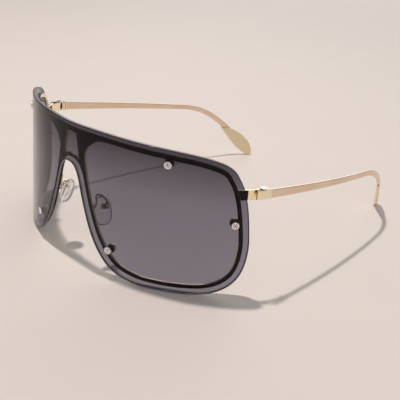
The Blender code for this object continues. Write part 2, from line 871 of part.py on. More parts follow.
def joint_place():
    """Where the bar ends and the tip starts, in the temple pattern."""
    along, height, heading = arc_path(side_spans, bar_length, -temple_slope)
    return pattern_place(along, height, heading)


def make_tips(axes):
    leaf = flat_sheet("temple_tip", [leaf_loop(side_spans)], tip_thickness, tip_round)
    pocket = box("pocket", (-joint_slant - cut_overrun, -tongue_height / 2 - plate_gap,
                            -tongue_thickness / 2 - plate_gap),
                 (tongue_length + plate_gap, tongue_height / 2 + plate_gap,
                  tongue_thickness / 2 + plate_gap), joint_place())
    leaf = bent(cut(leaf, [pocket]), temple_strip, temple_bend)
    add_pair("temple_tip", leaf, tip_tan, axes)


# Nose pads: x is the pad's width, y its length and z the way to the nose

def pad_frame():
    """Turns the left pad's own axes to the assembly's."""
    nose_way = Vector((-cos(pad_splay), sin(pad_splay), 0.0))
    up = Vector((0.0, 0.0, cos(pad_lean))) + nose_way * sin(pad_lean)
    face = nose_way * cos(pad_lean) - Vector((0.0, 0.0, sin(pad_lean)))
    across = up.cross(face)
    return Matrix((across, up, face)).transposed().to_4x4()


def make_pads(pivots):
    half_w, half_l = pad_width / 2, pad_length / 2
    loop = [(half_w * a, half_l * b - pad_drop) for a, b in pad_outline_shares]
    pad = flat_sheet("nose_pad", [smooth_loop(loop)], pad_thickness, pad_round)
    pad = moved(pad, Matrix.Translation((0.0, 0.0, pad_standoff + pad_thickness / 2)))
    stem = box("stem", (-stem_width / 2, -stem_height / 2, -stem_reach),
               (stem_width / 2, stem_height / 2, pad_standoff + pad_thickness / 2))
    across = Matrix.Rotation(pi / 2, 4, "Y")
    hole = cylinder("stem_hole", pad_screw_radius + turn_gap, -stem_width, stem_width,
                    steps=small_round_steps, place=across)
    pad = moved(cut(joined(pad, [stem]), [hole]), pad_frame())
    add_pair("nose_pad", pad, clear, pivots)


def make_pad_boxes(pivots):
    half_w, half_h = box_width / 2, box_height / 2
    inner_back = -stem_reach - swing_gap
    front = pad_screw_radius + turn_gap + box_lip
    body = rounded(box("pad_box", (-half_w, -half_h, inner_back - box_back),
                       (half_w, half_h, front)), box_round)
    channel = box("channel", (box_cheek - half_w, -half_h - cut_overrun, inner_back),
                  (half_w - box_cheek, half_h + cut_overrun, front + cut_overrun))
    across = Matrix.Rotation(pi / 2, 4, "Y")
    hole = cylinder("box_hole", pad_screw_radius + turn_gap, -box_width, box_width,
                    steps=small_round_steps, place=across)
    add_pair("pad_box", moved(cut(body, [channel, hole]), pad_frame()), gold, pivots)


def make_pad_screws(pivots):
    top = box_width / 2 + seat_gap
    crown = top + pad_screw_head_height
    profile = [(0.0, crown), (pad_screw_head_radius, crown), (pad_screw_head_radius, top),
               (pad_screw_radius, top), (pad_screw_radius, -box_width / 2),
               (0.0, -box_width / 2)]
    pin = turned("pad_screw", profile, steps=small_round_steps)
    across = Matrix.Rotation(-pi / 2, 4, "Y")
    add_pair("pad_screw", moved(pin, pad_frame() @ across), silver, pivots)


def make_pad_arms(pivots):
    """Bent wire from the frame's nose side, up, over and down to the pad box."""
    foot = arm_foot(frame_back + layer_gap) - pad_pivot
    foot_out = arm_foot(frame_back + arm_swing) - pad_pivot
    back = pad_frame().to_3x3() @ Vector((0.0, 0.0, -stem_reach - swing_gap - box_back - seat_gap))
    way_in = pad_frame().to_3x3() @ Vector((0.0, 0.0, 1.0))
    top = foot + Vector((0.0, arm_sweep / 2, arm_rise))
    crest = top + Vector((arm_loop / 2, arm_sweep / 2, 0.0))
    shoulder = back - way_in * arm_swing + Vector((0.0, 0.0, arm_loop / 2))
    points = [foot, foot_out, foot + Vector((0.0, arm_sweep / 2, arm_rise / 2)), top, crest,
              shoulder,
              back - way_in * arm_swing / 2, back]
    curve = bpy.data.curves.new("pad_arm", "CURVE")
    curve.dimensions = "3D"
    curve.bevel_depth = arm_radius
    curve.bevel_resolution = 1
    curve.resolution_u = wire_resolution
    curve.use_fill_caps = True
    spline = curve.splines.new("BEZIER")
    spline.bezier_points.add(len(points) - 1)
    for knot, spot in zip(spline.bezier_points, points):
        knot.co = spot
        knot.handle_left_type = "AUTO"
        knot.handle_right_type = "AUTO"
    maker = bpy.data.objects.new("pad_arm", curve)
    shapers.objects.link(maker)
    add_pair("pad_arm", evaluated_mesh(maker), gold, pivots)


def centre_on_origin():
    """Moves the whole assembly so that the origin is under the middle of its box."""
    bpy.context.view_layer.update()
    corners = [piece.matrix_world @ v.co for piece in parts.objects for v in piece.data.vertices]
    low = Vector([min(c[k] for c in corners) for k in range(3)])
    high = Vector([max(c[k] for c in corners) for k in range(3)])
    shift = -Vector(((low.x + high.x) / 2, (low.y + high.y) / 2, low.z))
    for thing in list(parts.objects) + list(shapers.objects):
        if thing.parent is None:
            thing.location += shift


def main():
    axes, pivots = {}, {}
    for side, sign in sides.items():
        flip = Vector((sign, 1.0, 1.0))
        axes[side] = add_empty("hinge_axis_" + side, hinge_axis * flip)
        pivots[side] = add_empty("pad_pivot_" + side, pad_pivot * flip)
    make_lens()
    make_frame()
    make_lens_screws()
    make_endpieces()
    make_front_hinges(axes)
    make_temple_hinges(axes)
    make_hinge_screws(axes)
    make_blocks(axes)
    make_collars(axes)
    make_bars(axes)
    make_tips(axes)
    make_pads(pivots)
    make_pad_boxes(pivots)
    make_pad_screws(pivots)
    make_pad_arms(pivots)
    centre_on_origin()


main()
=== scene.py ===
"""Oversized shield sunglasses standing open on a pale table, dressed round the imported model.

Metres, +Z up, +X to the wearer's left, the lens faces -Y.
"""
import json
from math import atan, atan2, ceil, cos, floor, hypot, pi, radians, sin

import bpy
from mathutils import Matrix, Vector

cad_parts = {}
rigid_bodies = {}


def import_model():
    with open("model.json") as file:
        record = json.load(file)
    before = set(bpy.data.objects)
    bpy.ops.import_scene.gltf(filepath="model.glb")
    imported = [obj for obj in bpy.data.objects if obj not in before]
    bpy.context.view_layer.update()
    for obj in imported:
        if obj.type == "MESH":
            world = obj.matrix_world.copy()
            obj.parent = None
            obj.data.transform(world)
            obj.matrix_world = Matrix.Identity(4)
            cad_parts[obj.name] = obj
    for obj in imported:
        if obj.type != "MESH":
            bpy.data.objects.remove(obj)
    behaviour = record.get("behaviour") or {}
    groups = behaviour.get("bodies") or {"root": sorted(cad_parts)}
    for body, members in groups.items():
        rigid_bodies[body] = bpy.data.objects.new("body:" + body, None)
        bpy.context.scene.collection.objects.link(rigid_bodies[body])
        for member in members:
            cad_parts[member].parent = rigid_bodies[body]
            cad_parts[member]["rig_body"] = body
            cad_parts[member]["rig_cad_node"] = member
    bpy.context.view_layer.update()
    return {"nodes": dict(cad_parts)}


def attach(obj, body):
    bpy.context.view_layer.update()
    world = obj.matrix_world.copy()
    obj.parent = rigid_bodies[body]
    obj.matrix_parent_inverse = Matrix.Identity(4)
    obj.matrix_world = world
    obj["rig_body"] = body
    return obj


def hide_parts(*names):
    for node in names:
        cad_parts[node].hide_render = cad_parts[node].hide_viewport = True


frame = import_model()

# Camera, fitted to the photograph, whose frame is 400 by 400 pixels
PHOTO_SIDE = 400
FOCAL_PIXELS = 772.5
SENSOR = 36.0
CAMERA_PLACE = (0.2499, -0.2716, 0.1635)
CAMERA_RIGHT = (0.7035, 0.7061, 0.0808)
CAMERA_DOWN = (0.3310, -0.2249, -0.9164)
CLIP_NEAR, CLIP_FAR = 0.01, 50.0

# Light: name, place, side of its square, power and colour of each lamp
LIGHT_AIM = (0.0, 0.0, 0.03)
LAMPS = (
    ("key", (-0.24, -0.13, 1.20), 0.06, 8.8, (1.0, 0.965, 0.92)),
    ("window", (-0.72, 1.15, 0.62), 1.2, 4.8, (0.98, 0.99, 1.0)),
    ("fill", (0.9, -0.7, 0.8), 0.9, 1.5, (1.0, 1.0, 1.0)),
)
ROOM_COLOUR, ROOM_STRENGTH = (1.0, 0.985, 0.97), 0.32

# Table, a hair below the points that the glasses stand on
TABLE_SIDE, TABLE_Z = 8.0, -0.00002

# Lens: a flat sheet bent round an upright cylinder
LENS_APEX_Y = -0.0883602
LENS_FOOT_Z = 0.000019
BEND_RADIUS = 0.0856
HALF_ARC = 0.0850
LENS_HEIGHT = 0.0640
LENS_THICKNESS = 0.0018
LENS_EDGE = 0.00032
STRIP = 0.0010
# Shares of half the arc and of the height, from the top middle round to the nose arch
OUTLINE_SHARES = (
    (0.000, 1.000), (0.200, 1.003), (0.420, 0.992), (0.610, 0.977), (0.740, 0.957),
    (0.838, 0.925), (0.893, 0.883), (0.925, 0.824), (0.954, 0.743), (0.977, 0.620),
    (0.992, 0.480), (0.999, 0.360), (0.989, 0.240), (0.964, 0.150), (0.924, 0.086),
    (0.872, 0.043), (0.800, 0.014), (0.700, 0.002), (0.580, 0.000), (0.470, 0.006),
    (0.390, 0.025), (0.325, 0.055), (0.268, 0.108), (0.216, 0.189), (0.171, 0.290),
    (0.134, 0.411), (0.104, 0.528), (0.080, 0.633), (0.056, 0.693), (0.029, 0.720),
    (0.000, 0.726),
)

# How squarely a face looks out of the lens's cylinder, from 0, along it, to 1
ROUNDED_EDGE, SAWN_SIDE, LOOKS_OUT = 0.97, 0.2, 0.5

# Metal rim behind the lens
RIM_FRONT = LENS_THICKNESS + 0.00065
RIM_DEPTH = 0.0012
RIM_BACK = RIM_FRONT + RIM_DEPTH
RIM_EDGE = 0.00014
INSET_LOW, INSET_HIGH, RIM_BAR = 0.0017, 0.0029, 0.0019
ARCH_INSET, ARCH_BAR = 0.0015, 0.0017
ARCH_BLEND = (0.106 * HALF_ARC, 0.282 * HALF_ARC)
ARCH_TOP = 0.850 * LENS_HEIGHT
COLUMN_FOOT = 0.630 * LENS_HEIGHT
COLUMN_SHARES = ((0.1024, 0.7656), (0.1106, 0.8359), (0.1435, 0.8840))
COLUMN_JOIN = 0.2176 * HALF_ARC
WINDOW_TOP, WINDOW_FOOT = 0.0353 * HALF_ARC, 0.0612 * HALF_ARC
STRAP_ARC = HALF_ARC + 0.0002
STRAP_HEIGHT, STRAP_RISE = 0.0042, 0.00045
# Where the painted dark reflection on the straps ends round the arc, and how far in from the
# rim's outer edge it reaches
PAINTED_REFLECTION_END, PAINTED_REFLECTION_REACH = 0.0826, 0.0011

# Screws through the lens; a profile gives shares of a radius and of a depth below the top
SCREW_SHARES = {"top": (0.5812, 0.8859), "outer": (0.9188, 0.5219), "lower": (0.2941, 0.2063)}
HEAD_RADIUS, HEAD_HEIGHT = 0.00165, 0.00095
DOME_RADIUS, GROOVE = 0.00085, 0.00022
DIMPLE_RADIUS, DIMPLE_DEPTH = 0.00028, 0.00018
GROOVE_END = 1.12
DIMPLE_PROFILE = ((0.0, 1.0), (0.8, 1.0), (1.0, 0.5), (1.2, 0.0))
DOME_PROFILE = ((0.60, 0.12), (0.85, 0.5), (1.0, 1.0), (GROOVE_END, 1.0), (1.22, 0.5))
LIP_PROFILE = ((0.86, 0.3), (0.94, 0.6), (0.99, 1.5))
SHANK_RADIUS = 0.00050
WASHER_RADIUS = 0.00150
LUG_RADIUS, LUG_NECK, LUG_PROUD = 0.00200, 0.0026, 0.00015
NUT_DEPTH, SCREW_END = 0.00110, 0.00030

# Hinges and temples
HINGE = Vector((0.0699984, -0.0426623, 0.0451198))
STACK_HEIGHT, BARREL_SIDE = 0.0044, 0.5
PIN_RADIUS, PIN_HEAD, PIN_HEAD_HEIGHT = 0.00045, 0.00150, 0.00045
PIN_EDGE, PIN_PROFILE = 0.00014, ((2.0, 0.0), (0.6, 0.25), (0.0, 1.0))
SLOT_WIDTH, SLOT_DEPTH = 0.00035, 0.00022
SLOPE = radians(7.8)
BAR_START, BAR_OFFSET, BAR_THICKNESS, BAR_EDGE = 0.0030, 0.00070, 0.0012, 0.00030
ROOT_HEIGHT, WAIST_HEIGHT, END_HEIGHT = 0.0039, 0.0026, 0.0032
BAR_RUN, BAR_TAIL = 0.0869, 0.0350
BAR_LENGTH = BAR_RUN + BAR_TAIL
EAR_TURN, EAR_RADIUS, TAIL_RADIUS = 0.4976391, 0.0515, 0.1330
SIDE_SPANS = ((BAR_RUN, 0.0), (EAR_RADIUS * EAR_TURN, -EAR_TURN), (TAIL_RADIUS, -1.0))
PLAN_SPANS = ((0.0059, 0.0), (0.0892, radians(10.5)), (0.0870, 1.0))
SLANT = 0.0026
TIP_LENGTH, TIP_NECK, TIP_WIDTH, TIP_WIDEST = 0.0247, 0.0040, 0.0082, 0.55
TIP_THICKNESS, TIP_EDGE = 0.0016, 0.00050
TONGUE = (0.0100, 0.0016, 0.0007)
TEMPLE_STRIP = 0.0015

# Clearances between pieces, and how far a cutting shape runs past what it cuts
GAP, SEAT, TURN_GAP, HOLE_GAP = 0.00010, 0.00005, 0.00005, 0.00015
OVER = 0.0010

# Points closer than a weld are merged; below an angle faces count as one or shade as one
WELD, FINE_WELD = 0.000002, 0.0000005
FLAT_ANGLE, SHARP, SHEET_SHARP = radians(0.1), radians(35), radians(60)
BEVEL_ANGLE, FITTING_ANGLE = radians(40), radians(50)
FINE_EDGE, FITTING_EDGE = 0.00008, 0.00010

# Numbers of steps round a hole, a lug and a turned piece, and along outlines
HOLE_SIDES, LUG_SIDES, TURNED_SIDES = 24, 40, 48
CURVE_STEPS, COARSE_STEPS, MARK_STEPS = 6, 3, 14
STRAP_STEPS, BAR_STEPS, TIP_STEPS = 8, 24, 12

# Materials: a coat against glare is a low index, and patterns work between start and end
COATED_IOR, PLAIN_IOR = 1.25, 1.49
PATCH_START, PATCH_END = 0.35, 0.65
POLISH_START, POLISH_END = 0.3, 0.7
NOISE_DETAIL = 4.0
BUMP_HEIGHT = 0.00002
# Smoke tones from the foot to the brow, lighter at the foot and darkest at the brow as painted
# light and shade for the bright table and dark surroundings seen through the lens, how much
# clouds shift them, and the clouds' scale
SMOKE_AND_BROW_SHADE_TONES = ((0.05, (0.286, 0.290, 0.352)), (0.70, (0.212, 0.206, 0.258)),
               (1.0, (0.078, 0.067, 0.084)))
SMOKE_SHIFT, SMOKE_CLOUDS, SMOKE_HAZE = 0.10, 24.0, 160.0
# Scales of the gold's patches, of its polishing marks, drawn out one way, and of its grain
GOLD_PATCHES, GOLD_MARKS, GOLD_GRAIN = 90.0, 700.0, 1500.0
MARK_STRETCH, GRAIN_STRENGTH = (1.0, 0.08, 1.0), 0.08

# The sign of X on each side, and the bodies that a pair of pieces rides on
SIDES = {"left": 1, "right": -1}
ON_FRONT = {"left": "front", "right": "front"}
ON_TEMPLES = {"left": "temple_left", "right": "temple_right"}


# Operators

def pick(piece):
    """Makes one piece the only one selected."""
    bpy.ops.object.select_all(action="DESELECT")
    piece.select_set(True)
    bpy.context.view_layer.objects.active = piece
    return piece


def edit(piece, *steps):
    """Runs edit-mode operators, each (operator, settings), on a whole piece."""
    pick(piece)
    bpy.ops.object.mode_set(mode="EDIT")
    for operator, settings in steps:
        bpy.ops.mesh.select_all(action="SELECT")
        operator(**settings)
    bpy.ops.object.mode_set(mode="OBJECT")
    return piece


def modify(piece, kind, **settings):
    """Adds a modifier and applies it."""
    pick(piece)
    modifier = piece.modifiers.new(kind.lower(), kind)
    for key, value in settings.items():
        setattr(modifier, key, value)
    bpy.ops.object.modifier_apply(modifier=modifier.name)
    return piece


def round_edges(piece, width, angle=BEVEL_ANGLE):
    """Bevels the edges that turn more sharply than an angle."""
    return modify(piece, "BEVEL", width=width, segments=2, limit_method="ANGLE",
                  angle_limit=angle, use_clamp_overlap=True)


def join_or_cut(piece, tool, operation):
    """Joins a shape to a piece, or cuts it away, and removes the shape."""
    modify(piece, "BOOLEAN", operation=operation, object=tool, solver="EXACT")
    bpy.data.objects.remove(tool, do_unlink=True)
    return piece


def place(piece, matrix):
    """Moves a piece by a matrix and settles the place into its mesh."""
    pick(piece)
    piece.matrix_world = matrix @ piece.matrix_world
    bpy.ops.object.transform_apply(location=True, rotation=True, scale=True)
    return piece


def smooth(piece, angle=SHARP):
    """Smooth shading in which the broad faces stay flat and the rounded edges take the turn."""
    pick(piece)
    bpy.ops.object.shade_smooth_by_angle(angle=angle, keep_sharp_edges=False)
    return modify(piece, "WEIGHTED_NORMAL", keep_sharp=True)


def extra_finish(piece, material, chosen):
    """Gives the chosen faces of a piece another material."""
    piece.data.materials.append(material)
    for face in piece.data.polygons:
        if chosen(face.center, face.normal):
            face.material_index = len(piece.data.materials) - 1


def copy_of(piece, name):
    """A copy of a finished shape with its own mesh."""
    pick(piece)
    bpy.ops.object.duplicate()
    twin = bpy.context.object
    twin.name = name
    return twin


def mirrored(piece, name):
    """The mirror image of a left piece, for the right side."""
    twin = copy_of(piece, name)
    place(twin, Matrix.Scale(-1, 4, (1, 0, 0)))
    edit(twin, (bpy.ops.mesh.normals_make_consistent, {"inside": False}))
    return twin


def dressed(piece, body, slot, material, *nodes):
    """Finishes a piece: its material, the body that it rides on and the nodes it replaces."""
    piece.data.materials.clear()
    piece.data.materials.append(material)
    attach(piece, body)
    if nodes:
        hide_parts(*nodes)
    return piece


def dressed_pair(piece, name, bodies, slot, material, node, angle=SHARP):
    """Finishes a left piece and its mirror image."""
    piece.name = name + "_left"
    twin = mirrored(piece, name + "_right")
    pair = {"left": piece, "right": twin}
    for side, shape in pair.items():
        dressed(smooth(shape, angle), bodies[side], slot, material, node + "_" + side)
    return pair


def welded_copy(node, name):
    """A copy of a CAD node with its loose triangles merged into whole faces."""
    piece = copy_of(frame["nodes"][node], name)
    piece.parent = None
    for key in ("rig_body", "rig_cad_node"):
        del piece[key]
    edit(piece, (bpy.ops.mesh.remove_doubles, {"threshold": WELD}),
         (bpy.ops.mesh.dissolve_limited, {"angle_limit": FLAT_ANGLE}))
    return piece


# Shapes

def flat_curve(name, loops, closed=True):
    """A flat curve with one straight-sided spline for each list of points."""
    curve = bpy.data.curves.new(name, "CURVE")
    curve.dimensions = "2D"
    for points in loops:
        spline = curve.splines.new("POLY")
        spline.points.add(len(points) - 1)
        for knot, (x, y) in zip(spline.points, points):
            knot.co = (x, y, 0.0, 1.0)
        spline.use_cyclic_u = closed
    holder = bpy.data.objects.new(name, curve)
    bpy.context.scene.collection.objects.link(holder)
    return holder


def flat_sheet(name, loops, depth, edge, fineness=2):
    """A plate with rounded edges from closed outlines, inner ones being holes."""
    sheet = flat_curve(name, loops)
    sheet.data.fill_mode = "BOTH"
    sheet.data.extrude = depth / 2 - edge
    sheet.data.bevel_depth = edge
    sheet.data.bevel_resolution = fineness
    sheet.data.offset = -edge
    pick(sheet)
    bpy.ops.object.convert(target="MESH")
    return edit(bpy.context.object, (bpy.ops.mesh.remove_doubles, {"threshold": FINE_WELD}),
                (bpy.ops.mesh.dissolve_limited, {"angle_limit": FLAT_ANGLE}),
                (bpy.ops.mesh.normals_make_consistent, {"inside": False}))


def cut_in_strips(piece, strip):
    """Cuts a sheet across its length into strips, so that it can bend."""
    reach = [v.co.x for v in piece.data.vertices]
    cuts = [(bpy.ops.mesh.bisect, {"plane_co": ((k + 0.5) * strip, 0.0, 0.0),
                                   "plane_no": (1.0, 0.0, 0.0), "threshold": FINE_WELD / 2})
            for k in range(floor(min(reach) / strip), ceil(max(reach) / strip))]
    return edit(piece, *cuts)


def bent_round(piece, middle_depth, strip=STRIP):
    """Stands a flat pattern up and bends it round the lens's cylinder."""
    place(piece, Matrix.Translation((0.0, middle_depth, 0.0)) @ Matrix.Rotation(pi / 2, 4, "X"))
    cut_in_strips(piece, strip)
    reach = [v.co.x for v in piece.data.vertices]
    modify(piece, "SIMPLE_DEFORM", deform_method="BEND", deform_axis="Z",
           angle=(max(reach) - min(reach)) / BEND_RADIUS)
    return place(piece, Matrix.Translation((0.0, LENS_APEX_Y, LENS_FOOT_Z)))


def turned(name, profile):
    """Spins a profile of (radius, height) points about Z."""
    holder = flat_curve(name, [profile], closed=False)
    pick(holder)
    bpy.ops.object.convert(target="MESH")
    piece = place(bpy.context.object, Matrix.Rotation(pi / 2, 4, "X"))
    edit(piece, (bpy.ops.mesh.spin, {"steps": TURNED_SIDES, "angle": 2 * pi, "dupli": False,
                                     "center": (0.0, 0.0, 0.0), "axis": (0.0, 0.0, 1.0)}),
         (bpy.ops.mesh.remove_doubles, {"threshold": WELD}),
         (bpy.ops.mesh.normals_make_consistent, {"inside": False}))
    return piece


def rod(name, radius, low, high, matrix, sides):
    """A round bar along its own Z from low to high."""
    bpy.ops.object.select_all(action="DESELECT")
    bpy.ops.mesh.primitive_cylinder_add(vertices=sides, radius=radius, depth=high - low,
                                        location=(0.0, 0.0, (low + high) / 2))
    piece = bpy.context.object
    piece.name = name
    return place(piece, matrix)


def block(name, low, high, matrix=Matrix.Identity(4)):
    """A straight block between two corners."""
    low, high = Vector(low), Vector(high)
    bpy.ops.object.select_all(action="DESELECT")
    bpy.ops.mesh.primitive_cube_add(size=1.0)
    piece = bpy.context.object
    piece.name = name
    size = Matrix.Diagonal((*(high - low), 1.0))
    return place(piece, matrix @ Matrix.Translation((low + high) / 2) @ size)


# Materials

def principled(name, colour, roughness, **inputs):
    """A material whose Principled shader takes the given plain socket values."""
    material = bpy.data.materials.new(name)
    material.use_nodes = True
    shader = material.node_tree.nodes["Principled BSDF"]
    shader.inputs["Base Color"].default_value = (*colour, 1.0)
    shader.inputs["Roughness"].default_value = roughness
    for key, value in inputs.items():
        shader.inputs[key.replace("_", " ")].default_value = value
    return material


def add_node(material, kind, **settings):
    """Adds a shader node with its settings."""
    node = material.node_tree.nodes.new(kind)
    for key, value in settings.items():
        setattr(node, key, value)
    return node


def noise(material, scale, stretch=(1.0, 1.0, 1.0)):
    """Noise over Object coordinates, stretched along an axis if asked."""
    links = material.node_tree.links
    spot = add_node(material, "ShaderNodeTexCoord")
    turn = add_node(material, "ShaderNodeMapping")
    turn.inputs["Scale"].default_value = stretch
    pattern = add_node(material, "ShaderNodeTexNoise")
    pattern.inputs["Scale"].default_value = scale
    pattern.inputs["Detail"].default_value = NOISE_DETAIL
    links.new(spot.outputs["Object"], turn.inputs["Vector"])
    links.new(turn.outputs["Vector"], pattern.inputs["Vector"])
    return pattern.outputs["Fac"]


def height_of(material):
    """The height of a point of the piece above the table."""
    spot = add_node(material, "ShaderNodeTexCoord")
    parts = add_node(material, "ShaderNodeSeparateXYZ")
    material.node_tree.links.new(spot.outputs["Object"], parts.inputs["Vector"])
    return parts.outputs["Z"]


def coloured(material, value, *stops):
    """Colours a surface along a pattern, by (position, colour) stops."""
    ramp = add_node(material, "ShaderNodeValToRGB")
    elements = ramp.color_ramp.elements
    for k, (position, colour) in enumerate(stops):
        stop = elements[k] if k < 2 else elements.new(position)
        stop.position = position
        stop.color = (*colour, 1.0)
    material.node_tree.links.new(value, ramp.inputs["Fac"])
    shader = material.node_tree.nodes["Principled BSDF"]
    material.node_tree.links.new(ramp.outputs["Color"], shader.inputs["Base Color"])


def polished(material, pattern, smooth_to, rough_to):
    """Varies the roughness between two numbers by a pattern."""
    span = add_node(material, "ShaderNodeMapRange")
    span.inputs["From Min"].default_value = POLISH_START
    span.inputs["From Max"].default_value = POLISH_END
    span.inputs["To Min"].default_value = smooth_to
    span.inputs["To Max"].default_value = rough_to
    material.node_tree.links.new(pattern, span.inputs["Value"])
    shader = material.node_tree.nodes["Principled BSDF"]
    material.node_tree.links.new(span.outputs["Result"], shader.inputs["Roughness"])


def bumped(material, scale, strength):
    """Raises the surface a little by a fine grain."""
    grain = noise(material, scale)
    bump = add_node(material, "ShaderNodeBump")
    bump.inputs["Strength"].default_value = strength
    bump.inputs["Distance"].default_value = BUMP_HEIGHT
    material.node_tree.links.new(grain, bump.inputs["Height"])
    shader = material.node_tree.nodes["Principled BSDF"]
    material.node_tree.links.new(bump.outputs["Normal"], shader.inputs["Normal"])


def patchy(material, scale, deep, pale):
    """Colours a surface in soft patches between two tones."""
    coloured(material, noise(material, scale), (PATCH_START, deep), (PATCH_END, pale))


def finish(name, colour, roughness, patches, polish, **inputs):
    """A material with soft (scale, tone, tone) patches and a (scale, low, high) polish."""
    material = principled(name, colour, roughness, **inputs)
    patchy(material, *patches)
    scale, smooth_to, rough_to = polish
    polished(material, noise(material, scale), smooth_to, rough_to)
    return material


def make_smoke():
    """Smoke sheet with a coat against glare, a little deeper in tone towards the brow, the
    gradient being painted light and shade for what is seen through it.
    """
    material = principled("smoke_lens", (0.20, 0.175, 0.21), 0.0, IOR=COATED_IOR,
                          Transmission_Weight=1.0)
    shade = add_node(material, "ShaderNodeMapRange")
    shade.inputs["From Min"].default_value = 0.0
    shade.inputs["From Max"].default_value = LENS_HEIGHT
    cloud = add_node(material, "ShaderNodeMath", operation="MULTIPLY_ADD")
    cloud.inputs[1].default_value = SMOKE_SHIFT
    links = material.node_tree.links
    links.new(height_of(material), shade.inputs["Value"])
    links.new(noise(material, SMOKE_CLOUDS), cloud.inputs[0])
    links.new(shade.outputs["Result"], cloud.inputs[2])
    coloured(material, cloud.outputs["Value"], *SMOKE_AND_BROW_SHADE_TONES)
    polished(material, noise(material, SMOKE_HAZE), 0.0, 0.02)
    return material


def make_gold(name, deep, pale, smooth_to, rough_to):
    """Plated metal: slight colour change, fine polishing marks and a faint grain."""
    material = principled(name, deep, 0.2, Metallic=1.0)
    patchy(material, GOLD_PATCHES, deep, pale)
    polished(material, noise(material, GOLD_MARKS, MARK_STRETCH), smooth_to, rough_to)
    bumped(material, GOLD_GRAIN, GRAIN_STRENGTH)
    return material


def make_tan():
    """Tan plastic of the temple tips, glossy and a little worn."""
    material = finish("tip_tan", (0.95, 0.77, 0.49), 0.28,
                      (60.0, (0.93, 0.745, 0.46), (0.97, 0.80, 0.52)), (400.0, 0.22, 0.36),
                      IOR=PLAIN_IOR, Coat_Weight=0.5, Coat_Roughness=0.10)
    bumped(material, 800.0, GRAIN_STRENGTH / 2)
    return material


smoke = make_smoke()
# The lens's rounded edge, where the sheet is looked through lengthwise and reads darker
smoke_edge = finish("smoke_edge", (0.03, 0.026, 0.03), 0.08,
                    (300.0, (0.026, 0.022, 0.026), (0.036, 0.031, 0.036)), (600.0, 0.04, 0.14),
                    IOR=COATED_IOR, Transmission_Weight=1.0)
# The lens's sawn side, polished only a little, which catches light from above
ground_edge = finish("ground_edge", (0.30, 0.28, 0.29), 0.35,
                     (500.0, (0.26, 0.24, 0.25), (0.34, 0.32, 0.33)), (900.0, 0.28, 0.42),
                     IOR=PLAIN_IOR, Transmission_Weight=0.35)
# Painted dark reflection: near-black for the gold rim's front and outer side, standing in for the
# dark surroundings that the gold reflects
painted_dark_reflection = finish("rim_painted_dark_reflection", (0.010, 0.008, 0.008), 0.25,
                 (120.0, (0.008, 0.006, 0.006), (0.014, 0.011, 0.010)), (500.0, 0.20, 0.34),
                 Specular_IOR_Level=0.15)
gold = make_gold("pale_gold", (0.84, 0.67, 0.48), (0.89, 0.73, 0.54), 0.12, 0.24)
bright_gold = make_gold("bright_gold", (0.97, 0.84, 0.57), (1.0, 0.90, 0.66), 0.10, 0.18)
satin_gold = make_gold("satin_gold", (0.77, 0.60, 0.46), (0.83, 0.67, 0.52), 0.16, 0.26)
silver = finish("silver_screw", (0.88, 0.87, 0.85), 0.12,
                (500.0, (0.80, 0.79, 0.77), (0.90, 0.89, 0.87)), (900.0, 0.05, 0.14),
                Metallic=1.0)
# Painted shade: dark, dull silver for the screws' dimples and grooves, standing in for the shade
# that falls in them
painted_shade = finish("silver_painted_shade", (0.14, 0.13, 0.12), 0.4,
                (700.0, (0.09, 0.085, 0.08), (0.19, 0.18, 0.17)), (900.0, 0.3, 0.5),
                Metallic=1.0)
tan_tip = make_tan()
silicone = finish("clear_silicone", (0.98, 0.98, 0.98), 0.1,
                  (120.0, (0.96, 0.96, 0.96), (0.995, 0.995, 0.995)), (500.0, 0.02, 0.10),
                  IOR=1.38, Transmission_Weight=0.94, Coat_Weight=0.3)
# Painted shade: browned gold on the round sides of the hinge barrels, standing in for the shadow
# and dark reflections in the slot between the knuckles
painted_shade_gold = finish("barrel_painted_shade", (0.30, 0.16, 0.08), 0.3,
                    (700.0, (0.24, 0.125, 0.06), (0.40, 0.22, 0.11)), (900.0, 0.22, 0.38),
                    Metallic=1.0)


# Outlines of the lens and its rim

def smooth_loop(knots, steps=CURVE_STEPS):
    """Points of a smooth closed curve through knots."""
    points = []
    for k, knot in enumerate(knots):
        before, start = Vector(knots[k - 1]), Vector(knot)
        end, after = (Vector(knots[(k + j) % len(knots)]) for j in (1, 2))
        for step in range(steps):
            t = step / steps
            leave, arrive = (end - before) / 2, (after - start) / 2
            points.append(start * (2 * t ** 3 - 3 * t ** 2 + 1) + end * (3 * t ** 2 - 2 * t ** 3)
                          + leave * (t ** 3 - 2 * t ** 2 + t) + arrive * (t ** 3 - t ** 2))
    return points


def lens_knots():
    """The lens's outline in the flat, from the top middle round both lobes and back."""
    half = [(HALF_ARC * a, LENS_HEIGHT * h) for a, h in OUTLINE_SHARES]
    return half + [(-x, y) for x, y in half[-2:0:-1]]


def inset(loop, distance):
    """Moves a closed outline's points inwards along their normals."""
    result = []
    for k, (x, y) in enumerate(loop):
        before, after = loop[k - 1], loop[(k + 1) % len(loop)]
        near, far = (x - before[0], y - before[1]), (after[0] - x, after[1] - y)
        weight_near, weight_far = 1 / hypot(*near), 1 / hypot(*far)
        way = atan2(near[1] * weight_near + far[1] * weight_far,
                    near[0] * weight_near + far[0] * weight_far)
        result.append((x + distance * sin(way), y - distance * cos(way)))
    return result


def crossings(loop, axis, value):
    """Where an outline crosses an upright (axis 0) or level (axis 1) line, in order."""
    found = []
    for k, start in enumerate(loop):
        end = loop[(k + 1) % len(loop)]
        low, high = sorted((start[axis], end[axis]))
        if low <= value <= high and low != high:
            share = (value - start[axis]) / (end[axis] - start[axis])
            found.append(start[1 - axis] + (end[1 - axis] - start[1 - axis]) * share)
    return sorted(found)


def nearest_on(loop, spot):
    """Nearest point of a closed outline."""
    best = None
    for k, start in enumerate(loop):
        a, b = Vector(start), Vector(loop[(k + 1) % len(loop)])
        share = min(max((Vector(spot) - a).dot(b - a) / (b - a).length_squared, 0.0), 1.0)
        near = a + (b - a) * share
        if best is None or (near - Vector(spot)).length < (best - Vector(spot)).length:
            best = near
    return best


